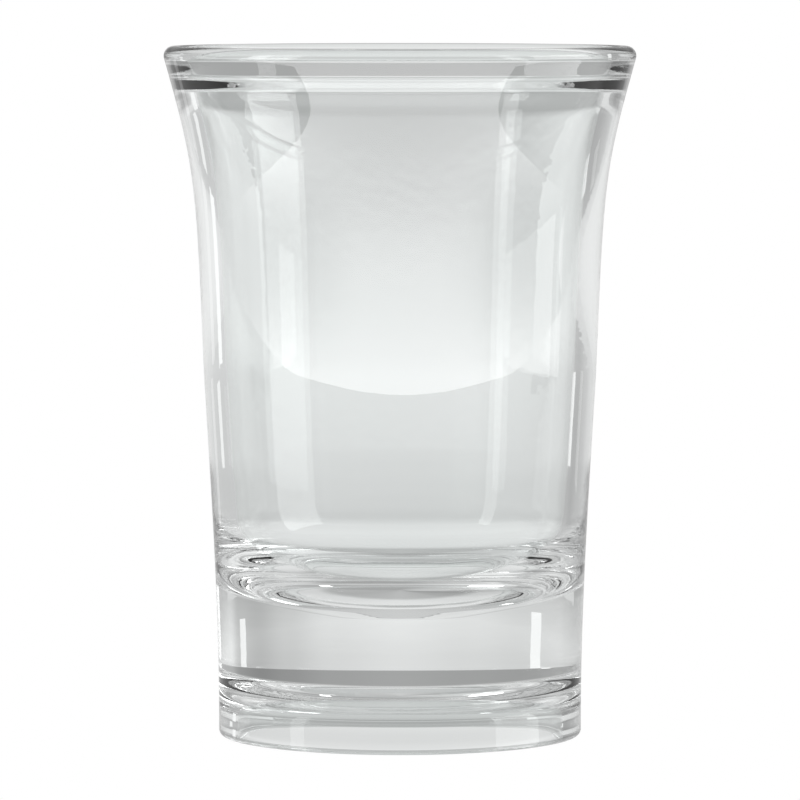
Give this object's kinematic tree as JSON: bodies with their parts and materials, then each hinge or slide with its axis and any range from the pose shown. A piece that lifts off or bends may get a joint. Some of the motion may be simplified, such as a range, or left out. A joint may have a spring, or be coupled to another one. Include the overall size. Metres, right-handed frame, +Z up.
{
  "type": "shot glass",
  "caption": "Small clear drinking glass with a flared mouth, a stepped rounded lip, a bowl-bottomed cavity and a thick solid base standing on a narrow ring.",
  "frame": {"origin": "centre of the foot ring, on the surface that the glass stands on", "axes": "+Z up along the axis of the glass; the glass is round, so +X and +Y may point any way across it"},
  "size_m": [0.041, 0.041, 0.06],
  "materials": {
    "clear_glass": "clear fire-polished gloss"
  },
  "bodies": {
    "root": {"glass_body": "clear_glass"}
  },
  "joints": []
}
